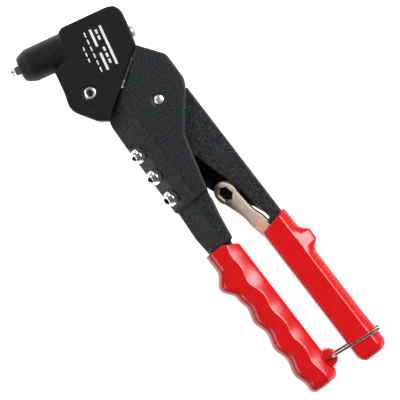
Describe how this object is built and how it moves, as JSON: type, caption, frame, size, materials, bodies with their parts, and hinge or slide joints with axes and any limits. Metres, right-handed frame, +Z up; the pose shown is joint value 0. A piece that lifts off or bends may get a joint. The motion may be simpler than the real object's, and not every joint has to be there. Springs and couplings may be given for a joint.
{
  "type": "hand riveter",
  "caption": "Hand riveter with a swivelling head, plier handles with dipped grips, a wire latch, stored nosepieces and a ring wrench for changing them.",
  "frame": {"origin": "on the lever's pivot axis, in the plane that the tool lies on: the flat lower end of the lever's pin, flush with the lower face of the body casting", "axes": "+X along the handles towards the ends of the grips, +Y from the fixed handle towards the lever, +Z up out of the plane that the tool lies on, along the lever's pivot axis"},
  "size_m": [0.2916, 0.0926, 0.028],
  "materials": {
    "black_paint": "textured black powder coat",
    "red_plastic": "dipped PVC, satin gloss",
    "bright_steel": "bright zinc-plated steel",
    "chrome": "bright plated",
    "nickel_steel": "nickel-plated steel",
    "dark_steel": "oiled, hardened steel"
  },
  "bodies": {
    "body": {"body_casting": "black_paint", "lever_pin": "bright_steel", "fixed_grip": "red_plastic", "swivel_stud": "dark_steel", "swivel_nut": "bright_steel", "detent_plate": "bright_steel", "spare_nosepiece_1": "chrome", "spare_nosepiece_2": "chrome", "spare_nosepiece_3": "chrome"},
    "lever": {"lever_casting": "black_paint", "lever_grip": "red_plastic", "nosepiece_wrench": "nickel_steel"},
    "rod": {"pull_rod": "bright_steel", "rod_nut": "dark_steel"},
    "head": {"head_casting": "black_paint", "fitted_nosepiece": "chrome", "rocker_pin": "bright_steel", "spring_plug": "bright_steel", "detent_ball_upper": "bright_steel", "detent_ball_lower": "bright_steel", "detent_spring_upper": "dark_steel", "detent_spring_lower": "dark_steel", "return_spring": "bright_steel"},
    "rocker": {"rocker": "dark_steel"},
    "jaw_carriage": {"jaw_case": "dark_steel", "tail_tube": "bright_steel", "tail_collar": "dark_steel", "jaw_spring": "bright_steel"},
    "jaws": {"jaw_upper": "dark_steel", "jaw_lower": "dark_steel", "jaw_pusher": "bright_steel"},
    "latch": {"wire_latch": "bright_steel"}
  },
  "joints": [
    {"name": "handle_swing", "type": "hinge", "parent": "body", "child": "lever", "pos_m": [0, 0, 0.014], "axis": [0, 0, 1], "range_deg": [-1, 30], "deforming": ["wire_latch"]},
    {"name": "rod_slide", "type": "slide", "parent": "body", "child": "rod", "axis": [0.8387, 0.5446, 0], "range_m": [-0.00566, 0.0002]},
    {"name": "head_swivel", "type": "hinge", "parent": "body", "child": "head", "pos_m": [-0.0276, -0.0044, 0.014], "axis": [0.8387, 0.5446, 0], "continuous": true},
    {"name": "rocker_pivot", "type": "hinge", "parent": "head", "child": "rocker", "pos_m": [-0.0299, -0.0323, 0.014], "axis": [0, 0, 1], "range_deg": [-0.51, 15.01]},
    {"name": "jaw_case_slide", "type": "slide", "parent": "head", "child": "jaw_carriage", "axis": [-0.2164, -0.9763, 0], "range_m": [-0.0003, 0.00855], "deforming": ["return_spring"]},
    {"name": "jaws_slide", "type": "slide", "parent": "jaw_carriage", "child": "jaws", "axis": [-0.2164, -0.9763, 0], "range_m": [-0.00116, 0.00005], "deforming": ["jaw_spring"]},
    {"name": "latch_swing", "type": "hinge", "parent": "body", "child": "latch", "pos_m": [0.1968, -0.0124, 0.014], "axis": [0, 0, 1], "range_deg": [-100, 0]}
  ],
  "couplings": [
    {"joint": "rod_slide", "follows": "handle_swing", "m_per_rad": -0.01079},
    {"joint": "rocker_pivot", "follows": "handle_swing", "ratio": 0.5},
    {"joint": "jaw_case_slide", "follows": "handle_swing", "m_per_rad": 0.01631},
    {"joint": "jaws_slide", "follows": "handle_swing", "m_per_rad": -0.0022}
  ]
}
